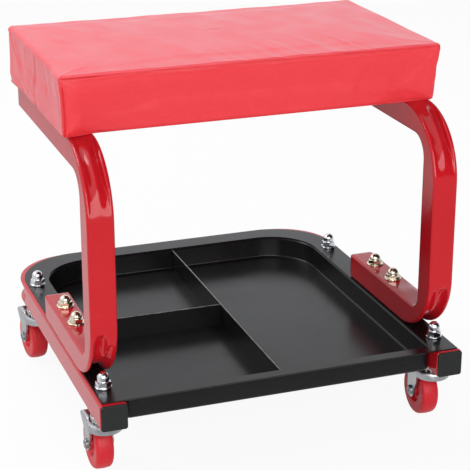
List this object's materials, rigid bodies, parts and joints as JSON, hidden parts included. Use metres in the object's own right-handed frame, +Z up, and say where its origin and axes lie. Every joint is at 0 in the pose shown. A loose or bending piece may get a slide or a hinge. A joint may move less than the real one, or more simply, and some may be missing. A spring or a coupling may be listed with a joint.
{
  "type": "creeper seat",
  "caption": "Low rolling workshop seat: padded top on two C-shaped square-tube legs over a divided tool tray, on a U-shaped tube base with swivel casters.",
  "frame": {"origin": "on the floor under the middle of the stool", "axes": "+X to the right seen from the open front, +Y from the open front to the rear rail, +Z up"},
  "size_m": [0.3648, 0.3774, 0.3715],
  "materials": {
    "red_tube": "gloss",
    "black_sheet": "satin",
    "black_cap": "matte",
    "red_wheel": "satin",
    "zinc_steel": "zinc plated",
    "bright_nut": "bright",
    "plywood": "raw",
    "foam": "open cell",
    "red_vinyl": "grained vinyl"
  },
  "bodies": {
    "frame": {"base_frame": "red_tube", "end_cap_left": "black_cap", "end_cap_right": "black_cap", "tool_tray": "black_sheet", "tray_divider_long": "black_sheet", "tray_divider_cross": "black_sheet", "leg_left": "red_tube", "leg_right": "red_tube", "leg_end_plugs": "black_cap", "leg_bolts": "zinc_steel", "leg_bolt_washers": "zinc_steel", "leg_nut_washers": "zinc_steel", "leg_cap_nuts": "bright_nut", "seat_board": "plywood", "seat_foam": "foam", "seat_cover": "red_vinyl", "seat_bolts": "zinc_steel", "seat_bolt_washers": "zinc_steel", "seat_tee_nuts": "zinc_steel", "caster_lock_washers": "zinc_steel", "caster_cap_nuts": "bright_nut", "caster_fl_stem": "zinc_steel", "caster_fl_race": "zinc_steel", "caster_fr_stem": "zinc_steel", "caster_fr_race": "zinc_steel", "caster_rl_stem": "zinc_steel", "caster_rl_race": "zinc_steel", "caster_rr_stem": "zinc_steel", "caster_rr_race": "zinc_steel"},
    "fork_fl": {"caster_fl_fork": "zinc_steel", "caster_fl_balls": "bright_nut", "caster_fl_axle": "zinc_steel"},
    "wheel_fl": {"caster_fl_wheel": "red_wheel"},
    "fork_fr": {"caster_fr_fork": "zinc_steel", "caster_fr_balls": "bright_nut", "caster_fr_axle": "zinc_steel"},
    "wheel_fr": {"caster_fr_wheel": "red_wheel"},
    "fork_rl": {"caster_rl_fork": "zinc_steel", "caster_rl_balls": "bright_nut", "caster_rl_axle": "zinc_steel"},
    "wheel_rl": {"caster_rl_wheel": "red_wheel"},
    "fork_rr": {"caster_rr_fork": "zinc_steel", "caster_rr_balls": "bright_nut", "caster_rr_axle": "zinc_steel"},
    "wheel_rr": {"caster_rr_wheel": "red_wheel"}
  },
  "joints": [
    {"name": "swivel_fl", "type": "hinge", "parent": "frame", "child": "fork_fl", "pos_m": [-0.165, -0.15235, 0.0565], "axis": [0, 0, 1], "continuous": true},
    {"name": "spin_fl", "type": "hinge", "parent": "fork_fl", "child": "wheel_fl", "pos_m": [-0.1654, -0.12935, 0.025], "axis": [-0.9998, -0.0175, 0], "continuous": true},
    {"name": "swivel_fr", "type": "hinge", "parent": "frame", "child": "fork_fr", "pos_m": [0.165, -0.15235, 0.0565], "axis": [0, 0, 1], "continuous": true},
    {"name": "spin_fr", "type": "hinge", "parent": "fork_fr", "child": "wheel_fr", "pos_m": [0.1658, -0.12936, 0.025], "axis": [-0.9994, 0.0349, 0], "continuous": true},
    {"name": "swivel_rl", "type": "hinge", "parent": "frame", "child": "fork_rl", "pos_m": [-0.165, 0.10745, 0.0565], "axis": [0, 0, 1], "continuous": true},
    {"name": "spin_rl", "type": "hinge", "parent": "fork_rl", "child": "wheel_rl", "pos_m": [-0.167, 0.13036, 0.025], "axis": [-0.9962, -0.0872, 0], "continuous": true},
    {"name": "swivel_rr", "type": "hinge", "parent": "frame", "child": "fork_rr", "pos_m": [0.165, 0.10745, 0.0565], "axis": [0, 0, 1], "continuous": true},
    {"name": "spin_rr", "type": "hinge", "parent": "fork_rr", "child": "wheel_rr", "pos_m": [0.167, 0.13036, 0.025], "axis": [-0.9962, 0.0872, 0], "continuous": true}
  ]
}
